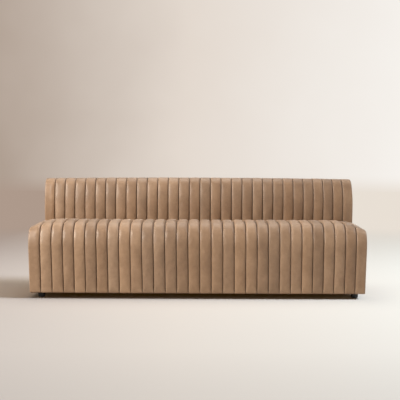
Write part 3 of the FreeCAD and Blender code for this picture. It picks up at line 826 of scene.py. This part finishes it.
# Painted shade: the back's strips are toned 0.42 darker than the seat's, the same hide dimmed because the lamps
# light the back more brightly.
back_leather = channelled_skin("back_leather", back_rows, 23, back_ends, back_flap_low, 0.42,
                               (2, len(rise_rows + roll_rows) - 5))
for vertex in back_leather.data.vertices:
    vertex.co = drawn_in(vertex.co)
stuff(back_leather)
wear(back_leather, hide_material("back_hide", tan_hide))
give_thickness(back_leather, leather)
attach(back_leather, "root")
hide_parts("back_cover", "back_channel_pad")


# The ends: a plain leather panel over a thin pad on each gable, sewn to the channelled leather with a narrow
# piping all round, and a little fuller in the middle.
end_inner_x = 1.0555
end_outer_x = 1.0622
seat_end_depth = 0.0145
back_end_depth = 0.0115
rear_line_y = 0.3316
panel_top_z = 0.6950
end_floor_z = 0.0352
piping = ((0.0007, 0.0020), (0.0012, 0.0010), (0.0012, -0.0010), (0.0007, -0.0030))
puff_rings = ((0.0016, 0.0018), (0.0024, 0.0014), (0.0034, 0.0010))
panel_cut = 0.024
panel_puff = 0.004
puff_start, puff_reach = 0.011, 0.055
crease_overlap = 0.002


def end_outline():
    """The end panel's edge as (y, z), up the front, over the seat, up and over the back, and down the rear."""
    def line(rows, depth):
        return [row[0](0.0, -depth)[1:] for row in rows]

    front = line(nose_rows + front_rows, seat_end_depth)[::-1]
    start_y, start_z = front[0]
    corner_y, corner_z = line(rise_rows[:1], back_end_depth)[0]
    first = (start_y + (start_z - end_floor_z) * front_slope, end_floor_z)
    crease = seat_line(crease_y - 0.0005, 0.0, 0.0)
    run = [first] + front + line(top_rows[::-4] + [crease], seat_end_depth)
    run += [(corner_y, corner_z + crease_overlap)]
    run += line(rise_rows[1::3] + roll_rows[:-4:2], back_end_depth)
    inner_y = rear_seam_y - back_end_depth
    run += [(inner_y, back_seam_z - back_end_depth), (inner_y, panel_top_z), (rear_line_y, panel_top_z)]
    run += [(rear_line_y, 0.36), (rear_line_y, end_floor_z)]
    return run


def mark_plain(piece, tone, warmth):
    """Marks a plain piece of hide: one tone, and no seams."""
    marks = piece.data.color_attributes.new("hide", "FLOAT_COLOR", "POINT")
    for mark in marks.data:
        mark.color = (tone, 0.0, warmth, 0.0)


def end_panel(name, side):
    outline = end_outline()
    bpy.ops.object.select_all(action="DESELECT")
    bpy.ops.mesh.primitive_circle_add(vertices=len(outline), radius=1.0, fill_type="NGON")
    panel = bpy.context.object
    panel.name = name
    for vertex, (y, z) in zip(panel.data.vertices, outline):
        vertex.co = (side * end_inner_x, y, z)
    panel.data.update()
    bpy.ops.object.mode_set(mode="EDIT")
    bpy.ops.mesh.select_mode(type="FACE")
    bpy.ops.mesh.select_all(action="SELECT")
    if panel.data.polygons[0].normal.x * side < 0:
        bpy.ops.mesh.flip_normals()
    bpy.ops.mesh.extrude_region_move(TRANSFORM_OT_translate={"value": (side * (end_outer_x - end_inner_x), 0, 0)})
    for thickness, depth in piping + puff_rings:
        bpy.ops.mesh.inset(thickness=thickness, depth=depth, use_even_offset=True)
    cuts = [((0, step * panel_cut, 0), (0, 1, 0)) for step in range(-11, 14)]
    cuts += [((0, 0, step * panel_cut), (0, 0, 1)) for step in range(3, 30)]
    for place, across in cuts:
        bpy.ops.mesh.bisect(plane_co=place, plane_no=across)
        bpy.ops.mesh.select_all(action="DESELECT")
        bpy.ops.object.mode_set(mode="OBJECT")
        outermost = max(side * v.co.x for v in panel.data.vertices) - 1e-5
        for face in panel.data.polygons:
            face.select = side * face.center.x > outermost
        bpy.ops.object.mode_set(mode="EDIT")
    bpy.ops.object.mode_set(mode="OBJECT")
    rim = [Vector(p) for p in outline]
    edges = list(zip(rim, rim[1:] + rim[:1]))

    def from_rim(point):
        best = 1.0
        for a, b in edges:
            span = b - a
            share = min(max((point - a).dot(span) / span.length_squared, 0.0), 1.0)
            best = min(best, (point - a - span * share).length)
        return best

    for vertex in panel.data.vertices:
        if side * vertex.co.x > outermost:
            inside = max(from_rim(Vector((vertex.co.y, vertex.co.z))) - puff_start, 0.0)
            vertex.co.x += side * panel_puff * (1 - math.exp(-(inside / puff_reach) ** 1.5))
        if vertex.co.z < seat_crest_z and vertex.co.y < crease_y:
            vertex.co = settled(vertex.co)
        vertex.co = drawn_in(vertex.co)
    mark_plain(panel, 0.5, 0.5)
    bpy.ops.object.shade_smooth_by_angle(angle=math.radians(60))
    return panel


plain_hide = hide_material("plain_hide", tan_hide)
for name, side in (("left_end", -1), ("right_end", 1)):
    panel = end_panel(name + "_leather", side)
    wear(panel, plain_hide)
    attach(panel, "root")
    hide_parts(name + "_cover", name + "_pad")


# The rear: one plain piece of the same leather, stretched over felt on the rear panel and tacked down
# along all four edges, its top edge under the back's wrap.
rear_half = 1.0650
rear_low, rear_high = 0.0345, 0.6995
rear_face_y = 0.3320
rear_edge_fall, rear_edge_width = 0.0006, 0.012
rear_top_fall, rear_top_width = 0.006, 0.005
tack_pull, tack_reach = 0.0005, 0.05
rear_wave, rear_wave_start = 0.0006, 0.1


def stretched_grid(name, columns, rows, place):
    """A fine grid with closer lines at its edges, put in place point by point."""
    bpy.ops.object.select_all(action="DESELECT")
    bpy.ops.mesh.primitive_grid_add(x_subdivisions=columns, y_subdivisions=rows, size=2)
    made = bpy.context.object
    made.name = name
    for vertex in made.data.vertices:
        vertex.co = place(math.sin(vertex.co.x * math.pi / 2), math.sin(vertex.co.y * math.pi / 2))
    return made


def rear_place(u, v):
    x = rear_half * u
    z = rear_low + (rear_high - rear_low) * (v + 1) / 2
    to_end = min(z - rear_low, rear_high - z)
    edges = sum(max(1 - reach / rear_edge_width, 0.0) ** 2 for reach in (rear_half * (1 - abs(u)), z - rear_low))
    fall = rear_edge_fall * min(edges, 1.0) + rear_top_fall * max(1 - (rear_high - z) / rear_top_width, 0.0) ** 2
    pull = math.exp(-to_end / tack_reach) * tack_pull * noise.noise((x * 14.0, 0.0, 4.0))
    wave = rear_wave * noise.noise((x * 2.4, z * 3.1, 8.0)) * min(to_end / rear_wave_start, 1.0)
    return drawn_in((x, rear_face_y - fall + pull + wave, z))


rear_leather = stretched_grid("rear_leather", 120, 56, rear_place)
mark_plain(rear_leather, 0.45, 0.4)
wear(rear_leather, plain_hide)
give_thickness(rear_leather, leather, (0, 1, 0))
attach(rear_leather, "root")
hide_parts("rear_cover")


# The underside: thin black bonded cloth, cut to the base and stapled to the rails and ribs, so it hangs a few
# millimetres between them.
dust_half = 1.0551
dust_front, dust_back = -0.2565, 0.3258
dust_z = 0.0350
dust_sag = 0.0045
dust_ruck = 0.0006
dust_thick = 0.0005
rib_pitch = 0.5185
staple_pitch = 0.06
staple_size = (0.010, 0.0011, 0.0006)
staple_inset = 0.010


def dust_place(u, v):
    x = dust_half * u
    y = dust_front + (dust_back - dust_front) * (v + 1) / 2
    bay = math.sin(math.pi * (x / rib_pitch)) ** 2
    hang = (1 - v * v) ** 0.8 * (0.25 + 0.75 * bay) * (1 - abs(u) ** 14)
    ruck = dust_ruck * noise.noise((x * 9.0, y * 9.0, 1.0)) * (1 - v * v)
    return x, y, dust_z - dust_sag * hang + ruck


dust_cloth = stretched_grid("dust_cloth", 130, 40, dust_place)
bonded_black = new_material("bonded_black")
tree = bonded_black.node_tree
coords = put(tree, "TexCoord").outputs["Object"]
dots = put(tree, "TexVoronoi", ("Vector", coords), Scale=750.0, Randomness=0.25).outputs["Distance"]
fibre_map = put(tree, "Mapping", ("Vector", coords), Scale=(1.0, 5.0, 1.0)).outputs["Vector"]
fibre = put(tree, "TexNoise", ("Vector", fibre_map), Scale=260.0, Detail=5.0).outputs["Fac"]
dust_tint = ramp(tree, fibre, [(0.3, (0.016, 0.015, 0.015)), (0.75, (0.045, 0.043, 0.042))])
dust_bump = put(tree, "Bump", ("Height", dots), Strength=0.5, Distance=0.0003).outputs["Normal"]
bonded = put(tree, "BsdfPrincipled", ("Base Color", dust_tint), ("Normal", dust_bump), Roughness=0.85)
finish_with(tree, bonded.outputs["BSDF"])
wear(dust_cloth, bonded_black)
give_thickness(dust_cloth, dust_thick, (0, 0, -1))
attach(dust_cloth, "root")
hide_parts("dust_cover")

bpy.ops.object.select_all(action="DESELECT")
bpy.ops.mesh.primitive_cube_add(size=1.0)
staple = bpy.context.object
staple.scale = staple_size
bpy.ops.object.transform_apply(location=False, rotation=False, scale=True)
bpy.ops.object.mode_set(mode="EDIT")
bpy.ops.mesh.select_all(action="SELECT")
bpy.ops.mesh.bevel(offset=0.0002, segments=1)
bpy.ops.object.mode_set(mode="OBJECT")
staple_z = dust_z - 0.0003
staple_places = []
for number in range(34):
    x = (number - 16.5) * staple_pitch
    staple_places += [(x, dust_front + staple_inset, 8), (x, dust_back - staple_inset, -6)]
for number in range(9):
    y = dust_front + 0.05 + number * staple_pitch
    staple_places += [(-dust_half + staple_inset, y, 84), (dust_half - staple_inset, y, 96)]
staples = []
for x, y, turn in staple_places:
    copy = staple.copy()
    copy.data = staple.data.copy()
    copy.location = (x, y, staple_z)
    copy.rotation_euler = (0, 0, math.radians(turn + 7 * noise.noise((x * 31, y * 17, 2.0))))
    bpy.context.collection.objects.link(copy)
    staples.append(copy)
bpy.data.objects.remove(staple)
bpy.ops.object.select_all(action="DESELECT")
for copy in staples:
    copy.select_set(True)
bpy.context.view_layer.objects.active = staples[0]
bpy.ops.object.join()
dust_staples = bpy.context.object
dust_staples.name = "dust_staples"
bpy.ops.object.transform_apply(location=True, rotation=True, scale=True)
wear(dust_staples, zinc_plate)
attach(dust_staples, "root")
